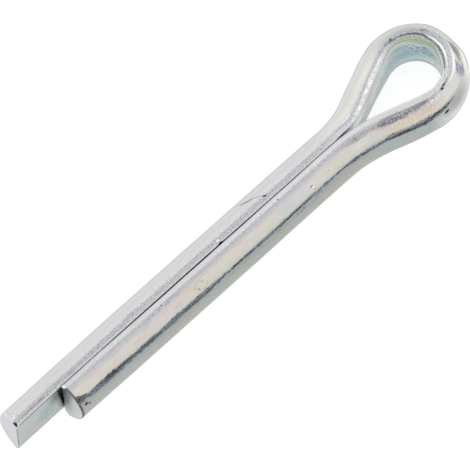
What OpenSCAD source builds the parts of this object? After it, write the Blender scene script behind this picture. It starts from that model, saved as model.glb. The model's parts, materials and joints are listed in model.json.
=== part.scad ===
// Split cotter pin with a teardrop eye and one leg longer than the other.
// It is one half-round wire, folded so that the flats of its two legs close on each other.
//
// The pin lies on its side. X runs along the shank's axis, from the shoulder under the eye
// (the origin) to the cut ends of the legs. Y crosses the split between the legs, with the
// long leg on the negative side. Z is up.

/* [Wire] */
// Diameter across the two closed legs
shank_d = 3.5; // [3.42:0.02:3.7]
// Height of the wire along its flat side
wire_h = 3.38; // [3.2:0.02:3.4]
// Radius on the two long edges of the flat side
edge_r = 0.34; // [0.2:0.02:0.5]
// Gap left between the flats of the closed legs
leg_gap = 0.08; // [0.04:0.02:0.2]

/* [Legs] */
// Length of the short leg, from the shoulder to its cut end
short_leg = 22.5; // [12:0.1:60]
// How far the long leg reaches past the short one
overhang = 3.6; // [1.6:0.1:4]
// Lean of the long leg's cut end, back towards the eye at the top
long_cut = 9; // [0:1:12]
// Lean of the short leg's cut end, the same way
short_cut = 7.5; // [0:0.5:12]
// Skew of the short leg's cut end, back towards the eye at its round side
short_skew = 6; // [0:1:10]
// Chamfer on the round rim of both cut ends
end_break = 0.12; // [0.04:0.02:0.2]

/* [Eye] */
// Angle by which the long leg's throat parts the wire from the split
long_flare = 24.8; // [22:0.1:27]
// Radius of the flat in the long leg's throat
long_throat_r = 8.2; // [7:0.1:10]
// Angle by which the short leg's throat parts the wire from the split
short_flare = 20.4; // [18:0.1:23]
// Radius of the flat in the short leg's throat
short_throat_r = 10.4; // [9:0.1:12]
// Radius of the gently bowed flanks between the throats and the crown
flank_r = 39; // [34:1:44]
// Angle through which the long leg's flank bows
long_bow = 5.1; // [4:0.1:6]
// Angle through which the short leg's flank bows
short_bow = 3.8; // [3:0.1:5]
// Inner radius of the crown, on the long leg's side of the eye
crown_r = 1.78; // [1.7:0.01:1.9]
// Angle through which the crown turns
crown_turn = 110.8; // [100:0.1:120]

/* [Hidden] */
$fn = 96;
ZINC = [0.80, 0.80, 0.81];

shank_r = shank_d / 2;
half_gap = leg_gap / 2;
long_leg = short_leg + overhang;

// How far a flank carries the wire from the split, and how long it is along the shank
function spread(throat_r, flare, bow) =
    half_gap + throat_r * (1 - cos(flare)) + flank_r * (cos(flare - bow) - cos(flare));
function rise(throat_r, flare, bow) =
    throat_r * sin(flare) + flank_r * (sin(flare) - sin(flare - bow));

long_lean = long_flare - long_bow;
short_lean = short_flare - short_bow;
crown_end = long_lean - crown_turn;

// The heel is the rest of the eye: its radius closes the eye onto the short leg's flank.
heel_turn = 180 + long_lean + short_lean - crown_turn;
heel_r = (spread(long_throat_r, long_flare, long_bow)
    + crown_r * (cos(crown_end) - cos(long_lean))
    + spread(short_throat_r, short_flare, short_bow)) / (cos(short_lean) + cos(crown_end));

// Distance by which the short leg's shoulder lies closer to the eye than the long leg's
shoulder_step = rise(long_throat_r, long_flare, long_bow)
    + crown_r * (sin(long_lean) - sin(crown_end))
    + heel_r * (sin(crown_end) - sin(short_lean))
    - rise(short_throat_r, short_flare, short_bow);

// The bends from the long leg's shoulder round to the short leg's, as [radius of the flat, turn].
// A positive turn bends the wire away from its flat, and a negative one bends it over its flat.
BENDS = [
    [long_throat_r, long_flare],
    [flank_r, -long_bow],
    [crown_r, -crown_turn],
    [heel_r, -heel_turn],
    [flank_r, -short_bow],
    [short_throat_r, short_flare],
];

// Extra turn by which each bend reaches into the next run, so that all join into one body
LAP = 0.000002;

// Moves to a worked-out place in a coarse and a fine step, which keeps all of its digits.
module place(at) {
    coarse = [for (c = at) round(c * 1000) / 1000];
    translate(coarse)
        translate(at - coarse)
            children();
}

// Half-round section of the wire: x is the distance from its flat, y the height.
module section() {
    flat_h = wire_h - 2 * edge_r;
    translate([-half_gap, 0])
        intersection() {
            circle(r = shank_r);
            union() {
                translate([half_gap, -flat_h / 2])
                    square([shank_r, flat_h]);
                translate([half_gap + edge_r, -wire_h / 2])
                    square([shank_r, wire_h]);
                for (side = [-1, 1])
                    translate([half_gap + edge_r, side * flat_h / 2])
                        circle(r = edge_r);
            }
        }
}

// Cutter that leaves the end of a round bar flat, with its rim chamfered. The end lies at the
// origin and faces +X.
module end_cutter() {
    room = 2 * shank_d;
    translate([0, -room / 2, -room / 2])
        cube(room);
    rotate([0, 90, 0])
        rotate_extrude()
            polygon([
                [shank_r - 2 * end_break, end_break],
                [shank_r + 2 * end_break, end_break],
                [shank_r + 2 * end_break, -3 * end_break],
            ]);
}

// A leg with its shoulder at the origin and its flat on the split. Its cut end meets the
// shank's axis at the given length, leans back at the top and may be skewed.
module leg(length, lean, skew = 0) {
    waste = shank_r * tan(lean);
    difference() {
        translate([0, half_gap, 0])
            rotate([90, 0, 90])
                linear_extrude(length + waste)
                    section();
        translate([length, 0, 0])
            rotate([0, -lean, skew])
                end_cutter();
    }
}

// One bend of the wire about its own centre, for a wire that came in along the heading
module bend(radius, turn, heading) {
    if (turn > 0)
        rotate_extrude(angle = turn + LAP, start = heading - 90)
            place([radius, 0])
                mirror([1, 0])
                    section();
    else
        rotate_extrude(angle = LAP - turn, start = heading + 90 + turn - LAP)
            place([radius, 0])
                section();
}

// Lays the bends end to end, from bend number i onwards.
module bends(at, heading = 0, i = 0) {
    radius = BENDS[i][0];
    turn = BENDS[i][1];
    leaving = heading + turn;
    centre = at + sign(turn) * radius * [-sin(heading), cos(heading)];
    place(centre)
        bend(radius, turn, heading);
    if (i < len(BENDS) - 1)
        bends(centre + sign(turn) * radius * [sin(leaving), -cos(leaving)], leaving, i + 1);
}

module cotter_pin() {
    color(ZINC)
        union() {
            mirror([0, 1, 0])
                leg(long_leg, long_cut);
            rotate(180)
                bends([0, half_gap]);
            place([-shoulder_step, 0, 0])
                leg(short_leg + shoulder_step, short_cut, short_skew);
        }
}

cotter_pin();
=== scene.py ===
import functools
import json
import math

import bpy
import numpy as np
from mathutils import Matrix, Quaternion, Vector


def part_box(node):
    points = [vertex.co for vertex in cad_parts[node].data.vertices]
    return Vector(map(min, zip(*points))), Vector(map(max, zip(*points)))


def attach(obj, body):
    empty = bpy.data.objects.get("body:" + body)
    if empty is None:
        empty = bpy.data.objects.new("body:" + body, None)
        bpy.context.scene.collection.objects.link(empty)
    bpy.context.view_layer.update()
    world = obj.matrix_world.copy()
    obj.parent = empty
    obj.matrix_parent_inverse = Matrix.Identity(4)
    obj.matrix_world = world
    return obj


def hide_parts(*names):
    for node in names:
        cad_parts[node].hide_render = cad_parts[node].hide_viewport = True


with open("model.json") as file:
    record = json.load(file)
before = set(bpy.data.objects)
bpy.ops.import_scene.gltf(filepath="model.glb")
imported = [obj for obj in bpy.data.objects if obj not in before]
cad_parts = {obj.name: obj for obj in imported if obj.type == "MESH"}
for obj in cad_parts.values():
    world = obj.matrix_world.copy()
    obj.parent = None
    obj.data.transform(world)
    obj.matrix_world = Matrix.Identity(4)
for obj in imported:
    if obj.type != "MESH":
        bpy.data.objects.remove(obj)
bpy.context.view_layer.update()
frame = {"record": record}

MM = 0.001

# ------------------------------------------------------------
# Sizes of the wire, in millimetres and degrees. The path of its flat is laid out with the long
# leg first, and turned half round into the part's frame at the end. Lengths along the wire start
# at the long leg's cut end: its shoulder lies at 26.1, the crown from 33.1 to 36.6, the heel up
# to 40.3, the short leg's shoulder at 46.6 and its cut end at LENGTH, 69.4.
# ------------------------------------------------------------

LOW, HIGH = (np.array(corner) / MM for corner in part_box("cotter_pin"))
SHANK_R = frame["record"]["mounts"][0]["dims"]["r_mm"]
HALF_H = (HIGH[2] - LOW[2]) / 2
# Half of the split between the flats
HALF_GAP = 0.04
# Length of each leg from the long leg's shoulder
LONG_LEG = frame["record"]["mounts"][0]["dims"]["length_mm"]
OVERHANG = 3.6
SHORT_LEG = LONG_LEG - OVERHANG

# The bottom edge of the drawn half-round wire is rolled to a quarter of an ellipse, this deep
# and this high. On its top edge the die left a nearly level facet, this wide and this much
# lower at the flat, which is rounded off at both sides.
EDGE_DEPTH = 0.38
EDGE_RISE = 0.80
FACET_W = 0.41
FACET_DROP = 0.08
FLAT_CORNER_R = 0.07
BACK_CORNER_R = 0.06
# Lengths around the wire start at the flat's upper edge and run over the top. The facet's back
# corner lies at this one.
CORNER_AROUND = 0.61

# Bends of the eye, as (radius of the flat, turn). A positive turn bends the wire away from its
# flat. The heel, which lies between the crown and the short flank, closes the eye.
LONG_THROAT = (8.2, 24.8)
LONG_FLANK = (39.0, -5.1)
CROWN = (1.78, -110.8)
SHORT_FLANK = (39.0, -3.8)
SHORT_THROAT = (10.4, 20.4)

# How the two ends were sheared: lean of the cut at the top, skew at the round side, and the
# radius to which the shear rolled the rim on the flat and on the round side
LONG_END = {"lean": 9.0, "skew": 0.0, "flat_rim": 0.04, "round_rim": 0.11}
SHORT_END = {"lean": 7.5, "skew": 6.0, "flat_rim": 0.17, "round_rim": 0.05}
# Length from each cut face to where the wire's body begins, past its rolled rim, and to where
# the face's lean has faded out
BODY_START = 0.22
LEAN_FADE = 3.0

# The legs stand furthest apart at this distance from the shoulder, and close up this far from
# there. The half gaps at both places, and how far each flat stands back again at the ends
GAP_MIDDLE = 12.0
GAP_REACH = 14.0
GAP_MOST = 0.032
GAP_LEAST = 0.010
TIP_CLEARANCE = 0.021
# Past this distance from the shoulder the long leg bends over, by so much at its end
TIP_BEND_START = 15.0
TIP_BEND = 0.1

# Number of mesh rows between the two rims
ROWS = 740


def cos_of(angle):
    """Cosine of an angle in degrees."""
    return math.cos(math.radians(angle))


def spread(throat, flank):
    """Distance from the split to the flat at the end of a flank: the rise of the throat's arc
    and then of the flank's arc."""
    lean = throat[1] + flank[1]
    return HALF_GAP + throat[0] * (1 - cos_of(throat[1])) + flank[0] * (cos_of(lean) - cos_of(throat[1]))


def eye_bends():
    """The six bends of the eye. The heel's turn makes the whole eye turn by half a circle, and
    its radius makes the spreads of both sides, the crown and the heel add up to nothing."""
    long_lean = LONG_THROAT[1] + LONG_FLANK[1]
    short_lean = SHORT_THROAT[1] + SHORT_FLANK[1]
    crown_end = long_lean + CROWN[1]
    width = spread(LONG_THROAT, LONG_FLANK) + spread(SHORT_THROAT, SHORT_FLANK)
    width += CROWN[0] * (cos_of(crown_end) - cos_of(long_lean))
    heel = (width / (cos_of(short_lean) + cos_of(crown_end)), -(180 + crown_end + short_lean))
    return [LONG_THROAT, LONG_FLANK, CROWN, heel, SHORT_FLANK, SHORT_THROAT]


def follow(s, runs):
    """Place and heading of the flat at the lengths s. The heading is the sum of curvature times
    length, and each place is the chord of its arc added to where the run began."""
    place, heading = np.array([-LONG_LEG, HALF_GAP]), 0.0
    places, headings = np.empty((len(s), 2)), np.empty(len(s))
    start = 0.0
    for length, curve in runs:
        ahead = s >= start
        far = np.append(s[ahead] - start, length)
        half_turn = curve * far / 2
        chord = far * np.sinc(half_turn / np.pi)
        direction = heading + half_turn
        ends = place + chord[:, None] * np.stack([np.cos(direction), np.sin(direction)], axis=1)
        places[ahead], headings[ahead] = ends[:-1], heading + 2 * half_turn[:-1]
        place, heading, start = ends[-1], heading + curve * length, start + length
    return places, headings


def wire_runs():
    """(length, curvature) of every run of the wire, from the long leg's cut end to the short
    leg's. The last run brings the short leg to its own length from the long leg's shoulder."""
    runs = [(LONG_LEG, 0.0)]
    runs += [(radius * math.radians(abs(turn)), math.copysign(1 / radius, turn))
             for radius, turn in eye_bends()]
    shoulder = follow(np.array([sum(length for length, _ in runs)]), runs)[0][0]
    return runs + [(SHORT_LEG + shoulder[0], 0.0)]


RUNS = wire_runs()
LENGTH = sum(length for length, _ in RUNS)


def smooth_step(x, start, end):
    """0 before start, 1 after end, and 3t^2 - 2t^3 between."""
    t = np.clip((x - start) / (end - start), 0, 1)
    return t * t * (3 - 2 * t)


def hump(x, centre, reach):
    """1 at the centre, falling off as a squared cosine to 0 at the reach on either side."""
    t = np.clip((x - centre) / reach, -1, 1)
    return np.cos(t * np.pi / 2) ** 2


def patch(along, around, centre, size, tilt=0.0):
    """Soft oval spot: 1 at its centre and 0 at the rim of an ellipse of half-axes size, whose
    long axis is tilted from the wire's direction."""
    a, b = along - centre[0], around - centre[1]
    t = math.radians(tilt)
    far = np.hypot((a * math.cos(t) + b * math.sin(t)) / size[0],
                   (b * math.cos(t) - a * math.sin(t)) / size[1])
    return hump(far, 0, 1)


def line_gap(along, around, points, half_width):
    """Distance in millimetres outside a drawn line, which joins (along, around) points by
    straight lines and is half_width wide to either side. It is negative on the line."""
    run, height = (np.array(values) for values in zip(*points))
    past = np.maximum(np.maximum(run[0] - along, along - run[-1]), 0)
    return np.hypot(around - np.interp(along, run, height), past) - half_width


def ripples(along, around, lengths, seed):
    """Sum of a few dozen plane waves of random direction and phase, scaled to about -1 to 1.
    Their wavelengths are spread round lengths, which are (along the wire, around it)."""
    rng = np.random.default_rng(seed)
    total = np.zeros(np.broadcast(along, around).shape)
    waves = 24
    for _ in range(waves):
        turn, phase = rng.uniform(0, 2 * np.pi, 2)
        size = rng.uniform(0.7, 1.6)
        wave = along * (math.cos(turn) / lengths[0]) + around * (math.sin(turn) / lengths[1])
        total += np.cos(2 * np.pi * wave / size + phase)
    return total / math.sqrt(waves)


# ------------------------------------------------------------
# The wire
# ------------------------------------------------------------


def corner(place, into, out, radius, count):
    """Count points of the small arc that rounds a corner, between its two directions in degrees."""
    setback = radius * math.tan(math.radians((into - out) / 2))
    start = np.array(place) - setback * np.array([cos_of(into), cos_of(into - 90)])
    centre = start + radius * np.array([cos_of(into - 90), cos_of(into - 180)])
    angle = np.radians(np.linspace(into + 90, out + 90, count))
    return centre + radius * np.stack([np.cos(angle), np.sin(angle)], axis=1)


def section():
    """Half-round section as (distance from the flat, height): up the flat, over the top facet,
    down the round side, and round the bottom edge back to the flat. Its points are spaced more
    closely on the upper half, where the handling marks are. Returns them with the lengths around
    and the girth."""
    slope = math.degrees(math.atan2(FACET_DROP, FACET_W))
    rim = math.degrees(math.asin(HALF_H / SHANK_R))
    low = corner((0, HALF_H - FACET_DROP), 90, slope, FLAT_CORNER_R, 6)
    high = corner((FACET_W, HALF_H), slope, rim - 90, BACK_CORNER_R, 4)
    facet = low[-1] + (high[0] - low[-1]) * np.linspace(0, 1, 6)[1:-1, None]
    flat = np.linspace(EDGE_RISE - HALF_H, low[0, 1], 24)[:-1]
    angle = np.radians(np.concatenate([np.linspace(rim - 1.2, 0, 54), np.linspace(0, -rim, 24)[1:]]))
    back = np.stack([SHANK_R * np.cos(angle) - HALF_GAP, SHANK_R * np.sin(angle)], axis=1)
    turn = np.radians(np.linspace(-90, -180, 12)[:-1])
    bottom = np.stack([EDGE_DEPTH * (1 + np.cos(turn)), EDGE_RISE * (1 + np.sin(turn)) - HALF_H], axis=1)
    upright = np.stack([np.zeros_like(flat), flat], axis=1)
    profile = np.concatenate([upright, low, facet, high, back, bottom])
    steps = np.linalg.norm(np.roll(profile, -1, axis=0) - profile, axis=1)
    around = np.concatenate([[0], np.cumsum(steps[:-1])])
    start = around[len(flat) + len(low) + len(facet) + 2] - CORNER_AROUND
    return profile, around - start, steps.sum() - start


def depth_of(along):
    """How deep the wire is from flat to back, as a share of the drawn section: the long leg is
    a little deeper than the short one, the crown is stretched thin, and the heel is upset by
    the fold. The short leg is a little slimmer past its shoulder and at its end."""
    legs = 0.046 * (1 - smooth_step(along, 22, 29)) - 0.020 * smooth_step(along, 45, 48)
    crown = -0.05 * hump(along, 37.6, 2.8)
    heel = 0.055 * smooth_step(along, 39.85, 42.0) * (1 - smooth_step(along, 43.6, 46.6))
    whole = 1 + legs + crown + heel
    return whole - 0.015 * hump(along, 50.5, 4.5) - 0.014 * smooth_step(along, 65, 68)


def flat_shift(places):
    """How far each leg's flat reaches over to the split. The legs all but touch at both ends and
    stand apart in the middle, so the half gap is a hump over the leg; the shift fades out along
    the throat. Towards the ends both flats stand back by TIP_CLEARANCE, which keeps the long
    leg's bent tip clear of the short leg."""
    half_gap = GAP_LEAST + (GAP_MOST - GAP_LEAST) * hump(places[:, 0], -GAP_MIDDLE, GAP_REACH)
    half_gap = half_gap + TIP_CLEARANCE * smooth_step(-places[:, 0], 19, 23.5)
    return (HALF_GAP - half_gap) * (1 - smooth_step(places[:, 0], 0, 6))


def eye_shift(along):
    """How far the flat inside the eye stands out towards the hole on the long leg's side, and
    back from it on the heel's side, in millimetres. It fades out to the round side."""
    shift = 0.06 * smooth_step(along, 26.8, 28.6) + 0.025 * hump(along, 37.3, 0.8)
    shift = shift - 0.10 * smooth_step(along, 37.8, 38.6) - 0.03 * smooth_step(along, 42, 43.5)
    return shift + 0.07 * smooth_step(along, 44.5, 47)


def eye_twist(along):
    """How far the wire's twist takes the upper edge of its flat into the eye, and the lower edge
    out of it: on the long side, from the throat to the crown."""
    throat = 0.115 * hump(along, 28.8, 4.2) * smooth_step(along, 26.7, 28.1)
    return throat - 0.025 * hump(along, 33.6, 1.8)


def leg_bend(places, along):
    """How far the legs bend over to the short leg's side: both by two hundredths past the
    shoulder and as much again to the end, and the long leg also as the square of the distance
    past TIP_BEND_START, up to TIP_BEND at its end."""
    both = (0.02 + 0.018 * np.clip(-places / LONG_LEG, 0, 1)) * smooth_step(-places, 0, 4)
    return both + TIP_BEND * np.clip(1 - along / (LONG_LEG - TIP_BEND_START), 0, 1) ** 2


# Height of the ripples that drawing leaves
RIPPLE = 0.004

# Dents across the outside of the crown, as (along, reach, depth); a negative depth is a swelling
DENTS = [(36.5, 0.8, 0.06), (33.9, 0.7, 0.03), (32.3, 0.9, -0.04), (35.6, 0.7, -0.045), (37.35, 0.6, -0.05)]

# Marks left by handling, as (along the wire, around it, half length, half width, tilt, depth,
# darkness). Around is measured over the top from the flat's upper edge.
NICKS = [
    (0.02, 0.30, 0.12, 0.30, 0, 0.05, 1.3),
    (16.85, 0.05, 0.36, 0.12, 0, 0.05, 1.7),
    (16.84, 0.15, 0.24, 0.16, 0, 0.05, 1.5),
    (11.0, 1.18, 0.12, 0.12, 0, 0.01, 0.4),
    (20.82, 0.55, 0.21, 0.12, -35, 0.02, 1.05),
    (19.87, 1.09, 0.20, 0.11, -35, 0.01, 0.75),
    (33.90, 0.63, 0.26, 0.17, 20, 0.02, 0.62),
    (39.25, 0.64, 0.24, 0.09, 5, 0.03, 0.95),
    (39.47, 0.72, 0.12, 0.14, 35, 0.04, 1.3),
    (39.88, 2.10, 0.19, 0.12, 35, 0.04, 1.4),
    (39.92, 2.44, 0.12, 0.14, 0, 0.01, 0.45),
    (40.35, 1.15, 0.30, 0.07, 60, 0.01, 0.45),
    (51.84, 0.54, 0.20, 0.10, -15, 0.02, 0.75),
    (61.5, 0.63, 0.12, 0.08, 0, 0.02, 0.75),
    (65.2, 0.62, 0.10, 0.07, 0, 0.01, 0.6),
    (49.70, 1.36, 0.17, 0.08, 0, 0.01, 0.9),
    (49.58, 1.60, 0.13, 0.10, 0, 0.01, 0.7),
    (49.50, 2.05, 0.12, 0.10, 0, 0.01, 0.5),
    (48.25, 1.34, 0.10, 0.08, 0, 0.01, 0.7),
    (62.5, 2.32, 0.14, 0.12, 0, 0.01, 0.45),
    (58.9, 2.32, 0.10, 0.10, 0, 0.01, 0.45),
    (68.95, 2.24, 0.22, 0.15, 12, 0.03, 1.3),
    (68.72, 2.38, 0.16, 0.10, -30, 0.02, 1.1),
    (69.25, 2.60, 0.09, 0.45, 0, 0.01, 0.45),
    (54.6, 2.55, 0.20, 0.14, 30, 0.01, 0.38),
    (56.0, 2.60, 0.10, 0.20, 0, 0.01, 0.36),
    (35.55, 0.92, 0.30, 0.14, 15, 0.01, 0.42),
]


def nicks(along, around):
    """The marks' soft oval spots: the darkest of them, and the deepest in millimetres."""
    spots = [(patch(along, around, (a, b), (length, width), tilt), depth, dark)
             for a, b, length, width, tilt, depth, dark in NICKS]
    return (np.max([spot * dark for spot, _, dark in spots], axis=0),
            np.max([spot * depth for spot, depth, _ in spots], axis=0))


def rows_along():
    """Places of the mesh rows along the wire. They stand closer in the eye and by the ends: the
    rows are even in the running sum of this density."""
    place = np.linspace(BODY_START, LENGTH - BODY_START, 4000)
    near_end = np.minimum(place, LENGTH - place)
    density = 1 + 1.1 * (1 - smooth_step(near_end, 1.0, 3.0))
    density += 1.1 * smooth_step(place, 32, 34) * (1 - smooth_step(place, 44, 46))
    total = np.cumsum(density)
    return np.interp(np.linspace(total[0], total[-1], ROWS), total, place)


def folded_wire():
    """The section carried along the path. Rows of the grid run from the middle of the long
    leg's cut face, out over its rolled rim, along the wire, and back in to the middle of the
    short leg's cut face. On a face the section shrinks towards its middle. Returns the points
    and, for each of them, the lengths along and around the wire, its distance from the rim of
    the nearer end, its depth behind the flat, its height, and whether it lies on a cut face,
    with the girth of the section."""
    profile, around, girth = section()
    flat_side = 1 - smooth_step(profile[:, 0], 0.0, 0.5)
    middle = np.array([0.75, 0.0])
    arm = profile - middle
    arm_length = np.linalg.norm(arm, axis=1)

    roll = np.radians(np.linspace(90, 15, 5))[:, None]
    face = np.linspace(0.12, 0.96, 8)[:, None]

    def end_rows(end):
        """Along, inset and shrink of the rows of a cut end, from the face's middle outwards."""
        rim = end["round_rim"] + ((end["flat_rim"] - end["round_rim"]) * flat_side
                                  * np.cos(profile[:, 1] / HALF_H) ** 2)
        flat_face = np.zeros_like(face * rim)
        return (np.concatenate([flat_face, rim * (1 - np.sin(roll))]),
                np.concatenate([flat_face + rim, rim * (1 - np.cos(roll))]),
                np.concatenate([flat_face + face, np.ones_like(roll * rim)]))

    body = rows_along()[:, None] + np.zeros_like(arm_length)
    first = end_rows(LONG_END)
    last = [part[::-1] for part in end_rows(SHORT_END)]
    along = np.concatenate([first[0], body, LENGTH - last[0]])
    inset = np.concatenate([first[1], np.zeros_like(body), last[1]])
    shrink = np.concatenate([first[2], np.ones_like(body), last[2]])
    on_face = shrink < 1

    share = (1 - inset / arm_length) * shrink
    rim_gap = np.where(on_face, (arm_length - inset) * (1 - shrink), np.minimum(along, LENGTH - along))
    _, depth = nicks(along, around)
    swell = (RIPPLE * ripples(along, around, (2.5, 1.2), 3) - depth) * ~on_face
    for fold, height in zip(FOLDS, FOLD_HEIGHTS):
        swell += height * hump(line_gap(along, around, fold, 0), 0, FOLD_REACH)
    dents = sum(dent * hump(along, place, reach) for place, reach, dent in DENTS)
    swell -= dents * smooth_step(around, 1.2, 2.4) * (1 - smooth_step(around, 4.4, 5.4))
    back = (middle[0] + arm[:, 0] * share + swell * arm[:, 0] / arm_length) * depth_of(along)
    height = np.clip(arm[:, 1] * share + swell * arm[:, 1] / arm_length, -HALF_H, HALF_H)

    slide = 0
    for end, fade in ((LONG_END, 1 - smooth_step(along, 0, LEAN_FADE)),
                      (SHORT_END, smooth_step(along, LENGTH - LEAN_FADE, LENGTH))):
        slide = slide + fade * (math.tan(math.radians(end["lean"])) * height
                                + math.tan(math.radians(end["skew"])) * back)

    flat_line, heading = follow(along.ravel(), RUNS)
    reach = flat_shift(flat_line).reshape(along.shape) + eye_shift(along)
    reach = reach + eye_twist(along) * height / HALF_H
    back = back - reach * (1 - back / SHANK_R)
    flat_line, heading = flat_line.reshape(along.shape + (2,)), heading.reshape(along.shape)
    grid = np.empty(along.shape + (3,))
    grid[..., 0] = flat_line[..., 0] - np.sin(heading) * back + slide
    grid[..., 1] = flat_line[..., 1] + np.cos(heading) * back - leg_bend(flat_line[..., 0], along)
    grid[..., 2] = height
    grid[..., :2] *= -1
    around = around + np.zeros_like(along)
    return {"points": grid * MM, "along": along, "around": around, "rim_gap": rim_gap, "back": back,
            "height": height, "on_face": on_face, "girth": girth}


def closed_piece(name, wire):
    """A closed mesh from the wire's grid, whose columns close round, with a face at each end
    row. Its UV map "wire" holds the lengths along and around in millimetres; the last column of
    quads goes on to the full girth, so the map has a cut there and no jump."""
    grid, along, around = wire["points"], wire["along"], wire["around"]
    rows, columns, _ = grid.shape
    index = np.arange(rows * columns).reshape(rows, columns)
    corners = [(slice(None, -1), 0), (slice(1, None), 0), (slice(1, None), 1), (slice(None, -1), 1)]
    index_next = np.roll(index, -1, axis=1)
    around_next = np.concatenate([around[:, 1:], np.full((rows, 1), wire["girth"])], axis=1)
    quads = np.stack([(index_next if side else index)[part] for part, side in corners], axis=-1)
    map_u = np.stack([along[part] for part, _ in corners], axis=-1)
    map_v = np.stack([(around_next if side else around)[part] for part, side in corners], axis=-1)
    faces = quads.reshape(-1, 4).tolist() + [index[0].tolist(), index[-1][::-1].tolist()]
    mesh = bpy.data.meshes.new(name)
    mesh.from_pydata(grid.reshape(-1, 3), [], faces)
    cap_u = np.concatenate([along[0], along[-1]])
    cap_v = np.concatenate([around[0], around[-1][::-1]])
    coordinates = np.concatenate([np.stack([map_u, map_v], axis=-1).reshape(-1, 2),
                                  np.stack([cap_u, cap_v], axis=-1)])
    mesh.uv_layers.new(name="wire").data.foreach_set("uv", coordinates.astype(np.float32).ravel())
    cut = (wire["on_face"][:-1] | wire["on_face"][1:]).ravel()
    mesh.polygons.foreach_set("material_index", np.concatenate([cut, [True, True]]).astype(np.int32))
    mesh.polygons.foreach_set("use_smooth", np.ones(len(faces), dtype=bool))
    mesh.update()
    piece = bpy.data.objects.new(name, mesh)
    bpy.context.scene.collection.objects.link(piece)
    return piece


def weigh(piece, name, values):
    """Stores one number per point of the grid as a named attribute, for the material to read."""
    attribute = piece.data.attributes.new(name, "FLOAT", "POINT")
    attribute.data.foreach_set("value", values.astype(np.float32).ravel())
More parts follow.
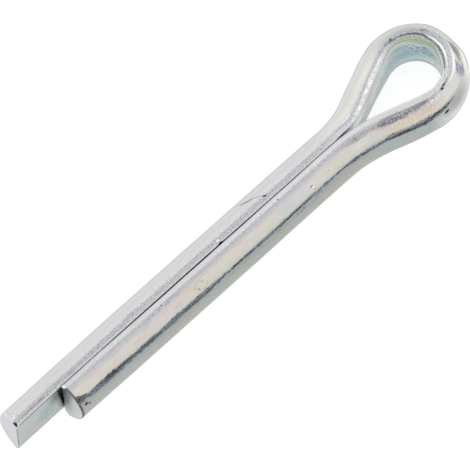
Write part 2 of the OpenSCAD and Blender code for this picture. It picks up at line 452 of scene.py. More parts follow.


# ------------------------------------------------------------
# Stains and marks of the plating, with painted shade, reflections and highlights, as soft shapes over the
# wire
# ------------------------------------------------------------

# (kind, along, around, half length, half width, tilt, strength)
STAINS_AND_PAINTED_LIGHT = [
    # scuffed metal: beside the heel's top edge, round the crown's folds, by the long leg's end
    ("dull", 42.8, 0.89, 2.1, 0.44, 2, 1.4),
    ("dull", 41.0, 0.82, 1.6, 0.24, 4, 1.1),
    ("dull", 45.6, 0.84, 3.0, 0.24, -2, 0.7),
    ("dull", 45.6, 1.02, 1.7, 0.20, -2, 0.5),
    ("dull", 35.60, 0.94, 0.55, 0.26, 10, 0.9),
    ("dull", 35.9, -0.95, 1.3, 0.80, 0, 0.22),
    ("dull", 38.20, 1.38, 0.80, 0.40, 8, 0.55),
    ("dull", 38.15, 1.68, 0.50, 0.20, 0, 0.9),
    ("violet", 38.10, 1.20, 0.70, 0.14, 6, 1.0),
    ("violet", 38.25, 1.45, 0.60, 0.14, 6, 1.0),
    ("violet", 38.10, 1.66, 0.45, 0.15, 0, 1.2),
    ("violet", 33.95, 0.47, 0.40, 0.12, 0, 0.9),
    ("dull", 42.3, 1.85, 1.2, 0.10, 0, 0.9),
    ("dull", 1.8, 0.36, 3.4, 0.13, 0, 0.75),
    ("dull", 7.0, 0.42, 5.0, 0.16, 0, 0.55),
    ("dull", 9.9, 0.60, 1.3, 0.16, 0, 0.6),
    # shaded patches, faint lilac film and dark flecks
    ("shade", 37.10, 1.34, 0.60, 0.34, 0, 1.3),
    ("shade", 37.28, 1.52, 0.40, 0.28, 20, 1.1),
    ("shade", 39.4, 2.06, 1.5, 0.95, 0, 0.9),
    ("shade", 37.62, 1.46, 0.5, 0.26, 10, 0.9),
    ("shade", 37.4, 0.36, 1.5, 0.14, -2, 1.1),
    ("shade", 39.2, 0.66, 0.7, 0.16, 4, 0.9),
    ("shade", 39.9, 0.34, 2.2, 0.14, 0, 0.3),
    ("shade", 19.60, 1.24, 0.50, 0.14, -25, 0.8),
    ("shade", 46.6, 0.18, 3.0, 0.40, 0, 0.34),
    ("shade", 69.05, 2.02, 0.45, 0.34, 20, 1.1),
    ("shade", 68.4, 0.12, 2.6, 0.36, 0, 0.45),
    ("lilac", 28.0, 0.42, 1.6, 0.15, 0, 0.9),
    ("lilac", 33.2, 0.62, 2.0, 0.26, 0, 0.6),
    ("lilac", 35.4, 0.80, 1.6, 0.40, 0, 0.4),
    ("fleck", 42.3, 0.95, 3.2, 0.32, 2, 1.0),
    ("fleck", 35.6, -0.95, 1.9, 1.05, 0, 1.3),
    ("fleck", 34.0, 0.62, 2.5, 0.24, 0, 0.8),
    ("fleck", 38.2, 1.35, 0.8, 0.40, 0, 0.9),
    ("fleck", 3.0, 0.36, 3.5, 0.20, 0, 0.8),
    ("fleck", 51.0, 2.12, 4.0, 0.28, 0, 1.1),
    ("fleck", 57.5, 2.15, 4.0, 0.22, 0, 0.6),
    ("fleck", 0.2, 0.9, 0.35, 1.1, 0, 0.8),
    ("fleck", 58.9, 1.35, 0.8, 0.40, 0, 1.0),
    ("fleck", 61.5, 0.75, 3.0, 0.20, 0, 0.6),
    # films over the heel and the legs, and cream patches round the eye; where the crown turns down, the
    # cream is partly a painted sheen on its outer edge
    ("straw", 42.3, 1.42, 2.0, 0.36, 0, 0.65),
    ("cream", 37.60, 1.93, 1.0, 0.30, 8, 0.95),
    ("cream", 38.1, 2.35, 0.75, 0.45, 30, 0.6),
    ("cream", 31.2, 0.95, 1.9, 0.34, 0, 0.5),
    ("cream", 45.9, 1.72, 1.4, 0.14, 0, 0.4),
    ("cream", 45.8, 1.42, 1.5, 0.34, 0, 0.4),
    ("straw", 57.4, 1.30, 2.0, 0.45, 0, 0.25),
    ("peach", 59.6, 1.10, 1.3, 0.30, 0, 0.50),
    ("green", 60.7, 1.35, 0.7, 0.35, 0, 0.30),
    ("peach", 61.6, 1.10, 0.8, 0.35, 0, 0.45),
    ("lilac", 63.0, 1.05, 1.2, 0.34, 0, 0.40),
    ("lilac", 62.4, 0.78, 1.6, 0.22, 0, 0.50),
    ("peach", 64.0, 1.35, 0.7, 0.20, 0, 0.45),
    ("peach", 65.4, 1.00, 1.2, 0.22, 0, 0.40),
    ("straw", 65.9, 1.35, 1.0, 0.26, 0, 0.35),
    ("lilac", 4.3, 0.38, 1.5, 0.20, 0, 0.7),
    ("peach", 40.8, 1.26, 1.8, 0.36, 0, 0.7),
    ("peach", 44.4, 1.02, 1.2, 0.14, -3, 0.5),
    ("peach", 67.6, 1.05, 1.6, 0.25, 0, 0.3),
    # blue-green film on the flat, inside the eye and by the long leg's end
    ("green", 35.3, 0.10, 2.3, 0.60, 0, 1.0),
    ("green", 46.0, -1.0, 2.0, 1.4, 0, 0.3),
    ("green", 35.9, -0.25, 1.6, 0.50, 0, 0.6),
    ("blue", 34.6, -1.50, 3.6, 1.80, 0, 1.0),
    ("blue", 34.1, -0.50, 1.4, 0.50, 0, 0.55),
    ("blue", 36.2, -1.00, 1.1, 0.80, 0, 0.6),
    ("green", 34.0, -0.40, 1.0, 0.45, 0, 0.4),
    ("blue", 31.4, -1.90, 2.6, 1.15, 0, 0.6),
    ("blue", 2.4, -1.30, 1.5, 1.10, 25, 0.75),
    ("green", 2.2, -1.25, 1.4, 0.9, 25, 0.75),
    # and a trace of it down the short leg's back
    ("blue", 64.6, 2.40, 2.8, 0.45, 0, 0.30),
    # painted highlights on the edges, the crown and beside the nicks, painted light on the flats inside the
    # throat and the eye, and painted glints on the rolled corners and the cut ends' rims
    ("bright", 69.42, 0.36, 0.18, 0.34, 0, 1.6),
    ("bright", 16.80, 0.38, 0.20, 0.12, 0, 1.3),
    ("bright", 49.62, 1.48, 0.20, 0.09, -40, 1.2),
    ("bright", 28.2, -0.40, 2.4, 1.10, 0, 1.1),
    ("bright", 34.6, 1.05, 1.8, 0.10, 0, 0.4),
    ("bright", 24.0, 2.12, 2.6, 0.20, 0, 0.35),
    ("bright", 30.9, -1.20, 2.2, 1.90, 0, 0.44),
    ("bright", 27.9, 0.65, 1.2, 0.09, 0, 0.6),
    ("bright", 29.0, 0.38, 0.30, 0.10, 0, 1.3),
    ("bright", 30.2, 0.42, 0.35, 0.09, 0, 1.3),
    ("bright", 30.9, 0.40, 0.30, 0.09, 0, 1.3),
    ("bright", 32.4, 0.43, 0.25, 0.09, 0, 1.3),
    ("glitter", 30.4, 0.38, 3.4, 0.22, 0, 1.6),
    ("glitter", 40.0, 0.95, 0.9, 0.25, 0, 0.7),
    ("glitter", 0.15, 1.1, 0.30, 1.1, 0, 0.9),
    ("glitter", 69.5, 0.8, 0.25, 0.8, 0, 0.5),
    # painted shade in the corner between the short leg's end and the long leg
    ("dirt", 3.62, -1.0, 0.22, 2.2, 0, 1.6),
    ("dirt", 3.15, -0.55, 0.75, 0.95, 0, 0.55),
    ("dirt", 4.60, -1.0, 1.3, 2.4, 0, 1.2),
]

# Painted reflection of a dark band: a ragged dark line, which opens in the heel and runs down the back of
# the short leg to swing over to the rim of its cut end, and a thin second line above it in the heel
DARK_REFLECTION = [
    (39.4, 1.68), (40.0, 1.76), (40.5, 1.89), (41.0, 1.96), (42.0, 1.94), (43.5, 1.955), (44.3, 1.97),
    (45.2, 1.99), (46.4, 1.97), (47.2, 1.90), (50.0, 1.90), (54.0, 1.92), (58.0, 1.90), (62.0, 1.90),
    (64.0, 1.87), (67.0, 1.87), (68.4, 1.86), (69.6, 1.60),
]
UPPER_REFLECTION = [(40.6, 1.72), (41.4, 1.78), (42.1, 1.76), (43.2, 1.78), (43.8, 1.84)]

# Fine dark lines: painted shade in the crease under the top of the crown and along the flat's bare upper
# edge, and a scratch on the long leg
CROWN_SHADE_LINE = [
    (33.0, 0.50), (34.5, 0.54), (35.6, 0.56), (36.0, 0.47), (36.4, 0.43), (37.0, 0.45), (37.5, 0.44),
    (38.0, 0.37), (38.3, 0.31),
]
EDGE_SHADE_LINE = [(0.3, 0.04), (3.8, 0.04), (20.0, 0.02), (24.0, -0.06)]
SCRATCH = [
    (19.25, 1.50), (19.4, 1.32), (19.65, 1.19), (19.95, 1.05), (20.2, 1.00), (20.5, 0.80),
    (20.83, 0.53),
]
# Two folds that the bend raised on top of the crown, each with a painted highlight along it, their heights,
# and how far each falls off to either side
FOLDS = [
    [(35.9, 0.58), (36.5, 0.595), (37.0, 0.605), (37.5, 0.57), (38.0, 0.55), (38.7, 0.43)],
    [(36.8, 1.18), (37.4, 1.11), (37.9, 1.01), (38.5, 0.92), (39.2, 0.78)],
]
FOLD_HEIGHTS = (0.012, 0.016)
FOLD_REACH = 0.13


def stain_and_painted_light_masks(wire):
    """How strong each kind of stain, painted shade or painted highlight is at each point: the sum of its
    spots.
    """
    along, around = wire["along"], wire["around"]
    masks = {kind: 0 for kind, *_ in STAINS_AND_PAINTED_LIGHT}
    for kind, a, b, length, width, tilt, strength in STAINS_AND_PAINTED_LIGHT:
        masks[kind] = masks[kind] + strength * patch(along, around, (a, b), (length, width), tilt)
    # painted shade: the long leg shades the near edge of the short leg's cut face
    near_split = 1 - smooth_step(wire["back"], 0.05, 1.2)
    leg_shade = (along > LENGTH / 2) * wire["on_face"] * near_split
    leg_shade = leg_shade * smooth_step(wire["height"], -1.7, 0.3) * 1.4
    # painted shade fills the split between the legs, up to its rim
    in_split = (smooth_step(along, 3.75, 4.0) * (1 - smooth_step(along, 24.6, 25.8))
                + smooth_step(along, 47.4, 48.6) * ~wire["on_face"])
    rim = 0.055 + 0.03 * (along < 20)
    painted_dark = in_split * smooth_step(-around, -rim, 0.03)
    masks["dirt"] = masks["dirt"] * (around < 0.02) + painted_dark + leg_shade
    # films show most on the short leg's upper side
    short = smooth_step(along, 41, 47)
    masks["film"] = (0.12 + 0.75 * short * hump(around, 1.25, 0.8)
                     + 0.4 * short * smooth_step(around, 2.0, 2.3))
    # coarse grain: on the top edge of both legs, down the short leg, on the crown and the heel
    long_edge = 0.9 * hump(around, 0.42, 0.5) * (along < 40)
    short_edge = (0.5 + 0.4 * hump(along, 51, 7)) * hump(around, 0.6, 0.4) * (along > 40)
    short_back = 0.35 * smooth_step(along, 39, 42) * smooth_step(around, 1.6, 1.9)
    crown = hump(along, 36.5, 3.6) * hump(around, 1.0, 1.1)
    heel = 0.9 * hump(along, 42.5, 3.5) * hump(around, 1.15, 0.7)
    masks["grainy"] = long_edge + short_edge + short_back + (crown + heel)
    return masks


def dark_reflection_gap(along, around):
    """Distance outside the painted dark reflection and its thin upper line. The reflection is widest at the
    heel and the end.
    """
    half = 0.09 + 0.075 * hump(along, 41.5, 2.7) + 0.055 * smooth_step(along, 55.5, 60)
    half = half - 0.02 * hump(along, 47.4, 1.8) - 0.012 * hump(along, 50.0, 3.5)
    half = half + 0.03 * smooth_step(along, 62, 66)
    half = (half + 0.022 * ripples(along, 0, (2.6, 1.0), 7)) * (0.3 + 0.7 * smooth_step(along, 39.5, 40.3))
    half = half + 0.16 * smooth_step(along, 68.6, 69.5)
    return np.minimum(line_gap(along, around, DARK_REFLECTION, half), line_gap(along, around, UPPER_REFLECTION, 0.03))


# Distance that no mark reaches
FAR_OFF = 9.0


def shade_and_scratch_gap(wire):
    """Distance outside the painted shade lines, the scratch, and the painted dark reflections on the burred
    rims of the two cut ends.
    """
    along, around, rim_gap = wire["along"], wire["around"], wire["rim_gap"]
    thick = 0.058 * smooth_step(along, 33.0, 35.4) * (1 - 0.42 * smooth_step(along, 35.6, 36.3))
    short_rim = np.hypot(rim_gap, np.maximum(0.62 - around, 0)) - 0.13 + FAR_OFF * (along < 35)
    short_rim = short_rim + 0.02 * np.maximum(around - 3, 0)
    long_rim = np.hypot(rim_gap, np.maximum(around + 0.15, 0)) - 0.025 + FAR_OFF * (along > 35)
    return np.minimum.reduce([line_gap(along, around, CROWN_SHADE_LINE, thick), short_rim, long_rim,
                              line_gap(along, around, EDGE_SHADE_LINE, 0.06 + 0.04 * hump(along, 15, 11)),
                              line_gap(along, around, SCRATCH, 0.03)])


def fold_highlight_gap(along, around):
    """Distance outside the painted highlights on the two folds, which taper to their ends."""
    return np.minimum.reduce([
        line_gap(along, around, FOLDS[0], 0.060 * hump(along, 37.0, 1.6) - 0.015),
        line_gap(along, around, FOLDS[1], 0.070 * hump(along, 38.0, 1.5) - 0.015),
    ])


# ------------------------------------------------------------
# Materials
# ------------------------------------------------------------


def colour(code):
    """Linear colour from an sRGB hex code."""
    values = [int(code[i:i + 2], 16) / 255 for i in (1, 3, 5)]
    return [v / 12.92 if v <= 0.04045 else ((v + 0.055) / 1.055) ** 2.4 for v in values] + [1.0]


def add(tree, kind, inputs=None, take=None, stops=(), **settings):
    """Adds a node with its settings, gives each named or numbered input a value or a link, and
    a colour ramp its stops. Returns the output socket to take, or else the first in use."""
    node = tree.nodes.new("ShaderNode" + kind)
    for name, value in settings.items():
        setattr(node, name, value)
    for name, value in (inputs or {}).items():
        if isinstance(value, bpy.types.NodeSocket):
            tree.links.new(value, node.inputs[name])
        else:
            node.inputs[name].default_value = value
    for i, (place, code) in enumerate(stops):
        stop = node.color_ramp.elements[i] if i < 2 else node.color_ramp.elements.new(place)
        stop.position, stop.color = place, colour(code)
    return node.outputs[take] if take else next(socket for socket in node.outputs if socket.enabled)


def new_material(name):
    """A new material with its node tree and its main shader."""
    material = bpy.data.materials.new(name)
    material.use_nodes = True
    return material, material.node_tree, material.node_tree.nodes["Principled BSDF"]


# Tones of the plating round the wire at six places along it, as (distance in millimetres over
# the top edge and down the back, colour). The wire is drawn, so its tints run along it as bands; the
# bands are also painted reflection: lighter over the top and at the outer edge, and darker low down the
# back.
LEG_TONES = [
    (0.08, "#d2d5d4"), (0.20, "#cfd1d1"), (0.30, "#c3c4c8"), (0.40, "#bcbcc1"), (0.56, "#bfbfc4"),
    (0.66, "#d6d8da"), (0.90, "#d8dad9"), (1.20, "#d0d2d1"), (1.74, "#cacccb"), (1.90, "#d9dbda"),
    (2.05, "#ebeceb"), (2.60, "#d6d9d7"), (4.30, "#c9cccb"), (5.20, "#bcbdc1"), (5.70, "#b9bbbd"),
]
FLANK_TONES = [
    (0.08, "#dde0dc"), (0.26, "#d4d5d5"), (0.41, "#e5e6e6"), (0.54, "#bcbcc1"), (0.64, "#bfc0c3"),
    (0.75, "#e0e1dc"), (1.00, "#e4e5df"), (1.40, "#d2d3d0"), (2.00, "#d4d5d4"), (3.20, "#d6d8d5"),
    (4.40, "#ccd0ce"), (5.70, "#bdc1c0"),
]
CROWN_TONES = [
    (0.08, "#a9b3a2"), (0.30, "#a5ae9f"), (0.42, "#aeb1b0"), (0.56, "#bbbcc0"), (0.72, "#b4b6bc"),
    (1.00, "#bcbfc2"), (1.20, "#c6c9c9"), (1.60, "#cbcecb"), (1.90, "#b9bcb7"), (2.20, "#c4c7c3"),
    (3.20, "#d6d8d5"), (4.40, "#c6cac6"), (5.70, "#b6c1c2"),
]
TURN_TONES = [
    (0.08, "#e6eae8"), (0.20, "#dfe2e0"), (0.40, "#c9caca"), (0.60, "#cbcbcc"), (0.72, "#c3c3c5"),
    (0.90, "#d6d6d5"), (1.40, "#dddcd6"), (1.60, "#cacac6"), (1.80, "#c4c5c1"), (2.10, "#d0d1cd"),
    (2.60, "#d5d6d4"), (3.20, "#dcdcdb"), (4.40, "#c9cccb"), (5.70, "#c0c2c0"),
]
HEEL_TONES = [
    (0.08, "#e2e3e1"), (0.20, "#e4e4e2"), (0.34, "#cccccb"), (0.50, "#cacac9"), (0.58, "#cccdcd"),
    (0.68, "#bfbfc4"), (0.80, "#b3b1b8"), (0.95, "#c6bfbe"), (1.20, "#d0cac2"), (1.55, "#d5d0c8"),
    (1.75, "#c4c1ba"), (2.00, "#9da6a6"), (2.60, "#a2a9a7"), (3.10, "#adafad"), (3.60, "#c6c7c5"),
    (4.50, "#c6c8c6"), (5.70, "#c4c6c4"),
]
SHORT_TONES = [
    (0.08, "#cfd1d2"), (0.30, "#cdcfd0"), (0.46, "#d5d6da"), (0.56, "#c7c8ce"), (0.68, "#babbc1"),
    (0.86, "#c8c7c8"), (1.10, "#d7d5d2"), (1.50, "#d5d3cd"), (1.68, "#cdcecb"), (1.80, "#b6b9b8"),
    (2.10, "#999fa0"), (2.50, "#a5a9a3"), (2.90, "#adafac"), (3.30, "#c4c6c4"), (4.40, "#c9cccb"),
    (5.70, "#bdbfc0"),
]
BACK_W = 5.80

# The tones after LEG_TONES, with the length along the wire over which each set takes over
BANDS = [
    ("flank", FLANK_TONES, 24.5, 28.5),
    ("crown", CROWN_TONES, 31.8, 35.0),
    ("turn", TURN_TONES, 36.2, 37.8),
    ("heel", HEEL_TONES, 39.4, 40.8),
    ("short", SHORT_TONES, 43.0, 45.6),
]

# Tones down the flat from its upper edge: of the legs, and of the eye's inside
FLAT_TONES = [(0.0, "#b9bebc"), (0.9, "#babfbe"), (1.9, "#b8bcbc"), (2.7, "#bfc1c2")]
INNER_TONES = [(0.0, "#dce0db"), (0.4, "#dce2de"), (1.3, "#dae3e2"), (2.1, "#dfe7e7"), (2.7, "#e2eaeb")]
FLAT_W = 2.70
# Length around at which the flat's tones give way to the back's
FLAT_END = 0.08

# Films, scuffs, shade and a painted highlight: (mask, colour, softness of the rim)
FILMS_AND_PAINTED_LIGHT = [
    ("straw", "#d9cbae", 0.9), ("peach", "#d6bfb5", 0.9), ("green", "#adb9a4", 0.9),
    ("blue", "#9bb2ba", 0.8), ("lilac", "#b7b6c6", 0.7), ("cream", "#eef0e2", 0.5),
    ("shade", "#989a99", 0.7), ("dull", "#7f7d88", 0.5), ("violet", "#8f91a8", 0.6),
    ("bright", "#fcfcfc", 0.35),
]

# Most of a noise's values lie in this range
NOISE_RANGE = {"From Min": 0.3, "From Max": 0.7}


def zinc_plate(names):
    """Bright zinc plate on drawn steel wire: a pale blue-white metal under a thin passive film.
    The film's thickness gives faint straw, pink and green bands along the wire, and the drawing
    die leaves ragged dull streaks. The names are those of the masks and distances that it reads."""
    material, tree, shader = new_material("bright_zinc_plate")
    put = functools.partial(add, tree)
    mask = {name: put("Attribute", attribute_name=name, take="Fac") for name in names}
    wire_map = put("UVMap", uv_map="wire")
    around = put("SeparateXYZ", {0: wire_map}, take="Y")
    place = put("TexCoord", take="Object")

    # drawing streaks 2.4 mm long and 0.10 mm wide
    stretched = put("Mapping", {"Vector": wire_map, "Scale": (1 / 2.4, 1 / 0.10, 1)})
    streaks = put("TexNoise", {"Vector": stretched, "Scale": 1.0, "Detail": 2.0, "Roughness": 0.6},
                  take="Fac")
    # ragged borders of the bands, in steps 0.35 mm long and 0.14 mm wide
    stretched = put("Mapping", {"Vector": wire_map, "Scale": (1 / 0.35, 1 / 0.14, 1)})
    ragged = put("TexNoise", {"Vector": stretched, "Scale": 1.0, "Detail": 3.0, "Roughness": 0.65},
                 take="Fac")
    # zinc crystals are finer than 0.05 mm; drawn at 0.13 mm, so that they show
    crystals = put("TexNoise", {"Vector": place, "Scale": 1 / 0.00013, "Detail": 2.0, "Roughness": 0.6},
                   take="Fac")
    # pits and bright grains of the plating, 0.2 mm apart, and its coarse grain, 0.075 mm
    # apart and drawn out to 0.12 mm along the wire
    moved = put("Mapping", {"Vector": place, "Location": (0.31, 0.17, 0.05)})
    grains = put("TexNoise", {"Vector": moved, "Scale": 1 / 0.0002, "Detail": 1.0, "Roughness": 0.5},
                 take="Fac")
    stretched = put("Mapping", {"Vector": wire_map, "Scale": (1 / 0.12, 1 / 0.075, 1)})
    grit = put("TexNoise", {"Vector": stretched, "Scale": 1.0, "Detail": 1.0, "Roughness": 0.6}, take="Fac")
    # the scuffs are combed at a slant of 35 degrees, in strokes 0.35 mm long and 0.06 mm wide
    slanted = put("Mapping", {"Vector": wire_map, "Rotation": (0, 0, math.radians(35)),
                              "Scale": (0.35, 0.06, 1)}, vector_type="TEXTURE")
    hatch = put("TexNoise", {"Vector": slanted, "Scale": 1.0, "Detail": 1.5, "Roughness": 0.6}, take="Fac")
    # slow changes of the film's thickness, 2.4 mm long and 0.8 mm wide
    stretched = put("Mapping", {"Vector": wire_map, "Scale": (1 / 2.4, 1 / 0.8, 1)})
    film = put("TexNoise", {"Vector": stretched, "Scale": 1.0, "Detail": 2.0}, take="Fac")

    # the bands' borders wander by a few hundredths of a millimetre
    raggedness = put("Math", {0: ragged, 1: -0.5}, operation="ADD")
    streakiness = put("Math", {0: streaks, 1: -0.5}, operation="ADD")
    shake = put("Math", {0: raggedness, 1: 0.16}, operation="MULTIPLY")
    drift = put("Math", {0: streakiness, 1: 0.08}, operation="MULTIPLY")
    shaken = put("Math", {0: around, 1: shake}, operation="ADD")
    shaken = put("Math", {0: shaken, 1: drift}, operation="ADD")
    across = put("Math", {0: shaken, 1: BACK_W}, operation="DIVIDE")
    tone = put("ValToRGB", {0: across}, stops=[(x / BACK_W, c) for x, c in LEG_TONES])
    for name, tones, _, _ in BANDS:
        there = put("ValToRGB", {0: across}, stops=[(x / BACK_W, c) for x, c in tones])
        tone = put("Mix", {0: mask[name], 6: tone, 7: there}, data_type="RGBA")
    down = put("Math", {0: around, 1: -FLAT_W}, operation="DIVIDE")
    outer, inner = (put("ValToRGB", {0: down}, stops=[(x / FLAT_W, c) for x, c in tones])
                    for tones in (FLAT_TONES, INNER_TONES))
    flat = put("Mix", {0: mask["inside"], 6: outer, 7: inner}, data_type="RGBA")
    on_flat = put("Math", {0: around, 1: FLAT_END}, operation="LESS_THAN")
    tone = put("Mix", {0: on_flat, 6: tone, 7: flat}, data_type="RGBA")

    # interference tints of the film
    tint = put("ValToRGB", {0: film}, stops=[
        (0.28, "#f2f4ff"), (0.42, "#ffffff"), (0.50, "#fff6f6"), (0.58, "#fffdf0"), (0.72, "#f7fff8")])
    tone = put("Mix", {0: mask["film"], 6: tone, 7: tint}, data_type="RGBA", blend_type="MULTIPLY")

    # films and shade lie softly over the metal, as does the painted highlight; scuffs have ragged, streaky
    # rims, because the streaks and the ragged noise thin or thicken each mask before it is cut off
    rough = put("Math", {0: ragged, 1: streaks}, operation="ADD")
    rough = put("Math", {0: rough, 1: -1.0}, operation="ADD")
    rough = put("Math", {0: rough, 1: 0.9}, operation="MULTIPLY")
    slivers = put("Math", {0: streaks, 1: hatch}, operation="ADD")
    slivers = put("MapRange", {"Value": slivers, "From Min": 0.88, "From Max": 1.13,
                               "To Min": 1.4, "To Max": 0.0})
    scuffed = put("Math", {0: mask["dull"], 1: slivers}, operation="MULTIPLY")
    for name, code, softness in FILMS_AND_PAINTED_LIGHT:
        strength = put("Math", {0: rough, 1: mask[name]}, operation="ADD")
        strength = put("MapRange", {"Value": strength, "From Min": 0.5 - softness / 2,
                                    "From Max": 0.5 + softness / 2})
        limit = scuffed if name == "dull" else mask[name]
        strength = put("Math", {0: strength, 1: limit}, operation="MINIMUM", use_clamp=True)
        tone = put("Mix", {0: strength, 6: tone, 7: colour(code)}, data_type="RGBA")

    # crystals and streaks sparkle lighter and darker, and more so where the grain is coarse
    sparkle = put("MapRange", {"Value": crystals, **NOISE_RANGE, "To Min": 0.95, "To Max": 1.05})
    streak = put("MapRange", {"Value": streaks, **NOISE_RANGE, "To Min": 0.97, "To Max": 1.03})
    sparkle = put("Math", {0: sparkle, 1: streak}, operation="MULTIPLY")
    coarse = put("MapRange", {"Value": grit, "From Min": 0.25, "From Max": 0.75,
                              "To Min": -0.42, "To Max": 0.42})
    coarse = put("Math", {0: coarse, 1: mask["grainy"]}, operation="MULTIPLY")
    coarse = put("Math", {0: coarse, 1: sparkle}, operation="ADD")
    tone = put("Mix", {0: 1.0, 6: tone, 7: put("CombineXYZ", {0: coarse, 1: coarse, 2: coarse})},
               data_type="RGBA", blend_type="MULTIPLY")

    # dark flecks, and painted glints where their masks are strong: the grain noise over a threshold
    pit = put("MapRange", {"Value": grains, "From Min": 0.47, "From Max": 0.38})
    pit = put("Math", {0: pit, 1: mask["fleck"]}, operation="MULTIPLY", use_clamp=True)
    pit = put("Math", {0: pit, 1: 0.6}, operation="MULTIPLY")
    tone = put("Mix", {0: pit, 6: tone, 7: colour("#62636f")}, data_type="RGBA")
    spark = put("MapRange", {"Value": grains, "From Min": 0.52, "From Max": 0.60})
    spark = put("Math", {0: spark, 1: mask["glitter"]}, operation="MULTIPLY", use_clamp=True)
    tone = put("Mix", {0: spark, 6: tone, 7: colour("#f8f9f8")}, data_type="RGBA")

    # lines and marks: the distance to each, roughened, over a threshold
    edge = put("Math", {0: raggedness, 1: 0.34}, operation="MULTIPLY")
    # painted highlight along the two raised folds
    fold = put("MapRange", {"Value": mask["fold"], "From Min": 0.05, "From Max": -0.01})
    tone = put("Mix", {0: fold, 6: tone, 7: colour("#fcfdfd")}, data_type="RGBA")
    # painted shade in the creases, painted dark reflections on the cut ends' rims, and a real scratch
    fine_edge = put("Math", {0: edge, 1: 0.2}, operation="MULTIPLY")
    crease = put("Math", {0: mask["crease"], 1: fine_edge}, operation="ADD")
    crease = put("MapRange", {"Value": crease, "From Min": 0.035, "From Max": -0.02, "To Max": 0.85})
    tone = put("Mix", {0: crease, 6: tone, 7: colour("#4b4f51")}, data_type="RGBA")
    # a painted reflection of a dark band, broken by lighter slivers drawn out along the wire
    seam = put("Math", {0: mask["seam"], 1: edge}, operation="ADD")
    seam = put("MapRange", {"Value": seam, "From Min": 0.05, "From Max": -0.05})
    lighter_slivers = put("Math", {0: grit, 1: streaks}, operation="ADD")
    lighter_slivers = put("MapRange", {"Value": lighter_slivers, "From Min": 0.85, "From Max": 1.25})
    painted_dark = put("Mix", {0: mask["short"], 6: colour("#1f2428"), 7: colour("#363b42")}, data_type="RGBA")
    painted_dark = put("Mix", {0: lighter_slivers, 6: painted_dark, 7: colour("#898f96")}, data_type="RGBA")
    tone = put("Mix", {0: seam, 6: tone, 7: painted_dark}, data_type="RGBA")
    # painted shade in the split, in the corner by the short leg's end and on the near edge of its cut face
    dirt = put("Math", {0: mask["dirt"], 1: 0.9}, operation="MULTIPLY", use_clamp=True)
    tone = put("Mix", {0: dirt, 6: tone, 7: colour("#2d302f")}, data_type="RGBA")
    nick = put("Math", {0: mask["nick"], 1: edge}, operation="ADD")
    nick = put("MapRange", {"Value": nick, "From Min": 0.22, "From Max": 0.62})
    tone = put("Mix", {0: nick, 6: tone, 7: colour("#2b2d2f")}, data_type="RGBA")

    tree.links.new(tone, shader.inputs["Base Color"])
    shader.inputs["Metallic"].default_value = 1.0
    shader.inputs["Specular Tint"].default_value = colour("#dcdcdc")
    gloss = put("MapRange", {"Value": crystals, **NOISE_RANGE, "To Min": 0.22, "To Max": 0.36})
    tree.links.new(gloss, shader.inputs["Roughness"])
    height = put("Math", {0: crystals, 1: streaks}, operation="ADD")
    bump = put("Bump", {"Height": height, "Strength": 0.3, "Distance": 0.00002})
    tree.links.new(bump, shader.inputs["Normal"])
    return material


def sheared_end():
    """Wire end cut by a shear and then plated: fine ridges run down the face, which is duller
    than the drawn side."""
    material, tree, shader = new_material("sheared_zinc_end")
    put = functools.partial(add, tree)
    place = put("TexCoord", take="Object")
    # shear ridges 0.12 mm apart and 1.5 mm long
    stretched = put("Mapping", {"Vector": place, "Scale": (1 / 0.00012, 1 / 0.00012, 1 / 0.0015)})
    ridges = put("TexNoise", {"Vector": stretched, "Scale": 1.0, "Detail": 3.0, "Roughness": 0.6},
                 take="Fac")
    short = put("Attribute", attribute_name="short", take="Fac")
    tone = put("Mix", {0: short, 6: colour("#c3c2c7"), 7: colour("#bfc6c2")}, data_type="RGBA")
    shade = put("MapRange", {"Value": ridges, **NOISE_RANGE, "To Min": 0.93, "To Max": 1.05})
    tone = put("Mix", {0: 1.0, 6: tone, 7: put("CombineXYZ", {0: shade, 1: shade, 2: shade})},
               data_type="RGBA", blend_type="MULTIPLY")
    # painted shade on the near edge of the cut face, where the long leg shelters it
    dirt = put("Attribute", attribute_name="dirt", take="Fac")
    dirt = put("Math", {0: dirt, 1: 0.6}, operation="MULTIPLY", use_clamp=True)
    tone = put("Mix", {0: dirt, 6: tone, 7: colour("#4d5558")}, data_type="RGBA")
    tree.links.new(tone, shader.inputs["Base Color"])
    shader.inputs["Metallic"].default_value = 1.0
    shader.inputs["Roughness"].default_value = 0.38
    bump = put("Bump", {"Height": ridges, "Strength": 0.4, "Distance": 0.00003})
    tree.links.new(bump, shader.inputs["Normal"])
    return material


wire = folded_wire()
along, around = wire["along"], wire["around"]
pin = closed_piece("folded_wire", wire)
masks = {name: smooth_step(along, start, end) for name, _, start, end in BANDS}
masks["inside"] = smooth_step(along, 27, 33) * (1 - smooth_step(along, 44, 47))
masks["seam"] = dark_reflection_gap(along, around)
masks["crease"] = shade_and_scratch_gap(wire)
masks["fold"] = fold_highlight_gap(along, around)
masks["nick"], _ = nicks(along, around)
masks.update(stain_and_painted_light_masks(wire))
for name, values in masks.items():
    weigh(pin, name, values)
pin.data.materials.append(zinc_plate(masks))
pin.data.materials.append(sheared_end())
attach(pin, "root")
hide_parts("cotter_pin")

# ------------------------------------------------------------
# Studio
# ------------------------------------------------------------


def seen_rays(tree):
    """1 for rays that show the surroundings themselves: camera, glossy and transmission rays."""
    camera, glossy, through = (add(tree, "LightPath", take=f"Is {kind} Ray")
                               for kind in ("Camera", "Glossy", "Transmission"))
    shown = add(tree, "Math", {0: camera, 1: glossy}, operation="MAXIMUM")
    return add(tree, "Math", {0: shown, 1: through}, operation="MAXIMUM")


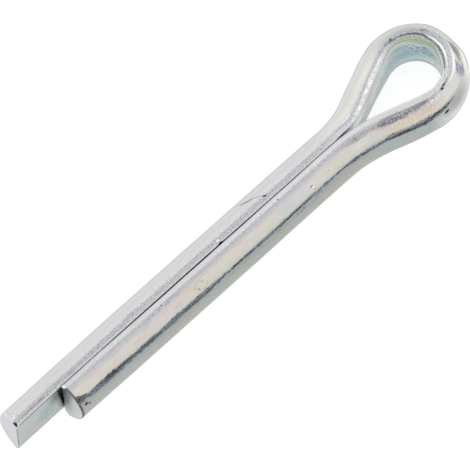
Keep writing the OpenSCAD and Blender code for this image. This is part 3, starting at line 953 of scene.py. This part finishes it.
def sheet(name, half, height):
    """Level square sheet at a height, reaching half its width to either side."""
    mesh = bpy.data.meshes.new(name)
    corners = [(x * half, y * half, height) for x, y in ((-1, -1), (1, -1), (1, 1), (-1, 1))]
    mesh.from_pydata(corners, [], [(0, 1, 2, 3)])
    piece = bpy.data.objects.new(name, mesh)
    bpy.context.scene.collection.objects.link(piece)
    return piece


def white_paper():
    """Matt white paper, lifted to pure white where it is seen, so that it keeps a soft shadow."""
    material, tree, shader = new_material("white_paper")
    shader.inputs["Base Color"].default_value = colour("#f4f4f4")
    shader.inputs["Roughness"].default_value = 0.9
    shader.inputs["Specular IOR Level"].default_value = 0.0
    shader.inputs["Emission Color"].default_value = colour("#ffffff")
    glow = add(tree, "Math", {0: seen_rays(tree), 1: 0.66}, operation="MULTIPLY")
    tree.links.new(glow, shader.inputs["Emission Strength"])
    return material


def white_room():
    """World: white where it is seen or reflected, and a little dimmer as a light."""
    world = bpy.data.worlds.new("white_room")
    world.use_nodes = True
    tree = world.node_tree
    sky = tree.nodes["Background"]
    sky.inputs["Color"].default_value = colour("#ffffff")
    strength = add(tree, "MapRange", {"Value": seen_rays(tree), "To Min": 0.6, "To Max": 1.0})
    tree.links.new(strength, sky.inputs["Strength"])
    return world


def lamp(name, place, aim, width, power):
    """Square soft lamp at a place in millimetres, facing its aim."""
    light = bpy.data.lights.new(name, "AREA")
    light.size = width * MM
    light.energy = power
    piece = bpy.data.objects.new(name, light)
    bpy.context.scene.collection.objects.link(piece)
    piece.location = Vector(place) * MM
    piece.rotation_mode = "QUATERNION"
    piece.rotation_quaternion = (Vector(place) - Vector(aim)).to_track_quat("Z", "Y")


floor = sheet("floor", 1.0, LOW[2] * MM)
floor.data.materials.append(white_paper())
bpy.context.scene.world = white_room()
lamp("key_lamp", (-120, -180, 260), (8, 0, 0), 180, 0.02)
lamp("fill_lamp", (160, 120, 220), (8, 0, 0), 200, 0.012)

# Camera: where it stands round the point it looks at, its roll, and its lens for the width of
# the sensor
VIEW_AZIMUTH = 60.82
VIEW_ELEVATION = 64.43
VIEW_ROLL = -14.9
AIM = Vector((7.92, -0.435, 0)) * MM
VIEW_DISTANCE = 176.72 * MM
LENS = 222.15
SENSOR_W = 36
camera = bpy.data.objects.new("camera", bpy.data.cameras.new("camera"))
bpy.context.scene.collection.objects.link(camera)
camera.data.lens = LENS
camera.data.sensor_width = SENSOR_W
az, el = math.radians(VIEW_AZIMUTH), math.radians(VIEW_ELEVATION)
back = Vector((math.cos(az) * math.cos(el), math.sin(az) * math.cos(el), math.sin(el)))
camera.location = AIM + back * VIEW_DISTANCE
camera.rotation_mode = "QUATERNION"
roll = Quaternion((0, 0, 1), math.radians(VIEW_ROLL))
camera.rotation_quaternion = back.to_track_quat("Z", "Y") @ roll
camera.data.clip_start, camera.data.clip_end = 0.01, 10
bpy.context.scene.camera = camera
bpy.context.scene.view_settings.view_transform = "Standard"
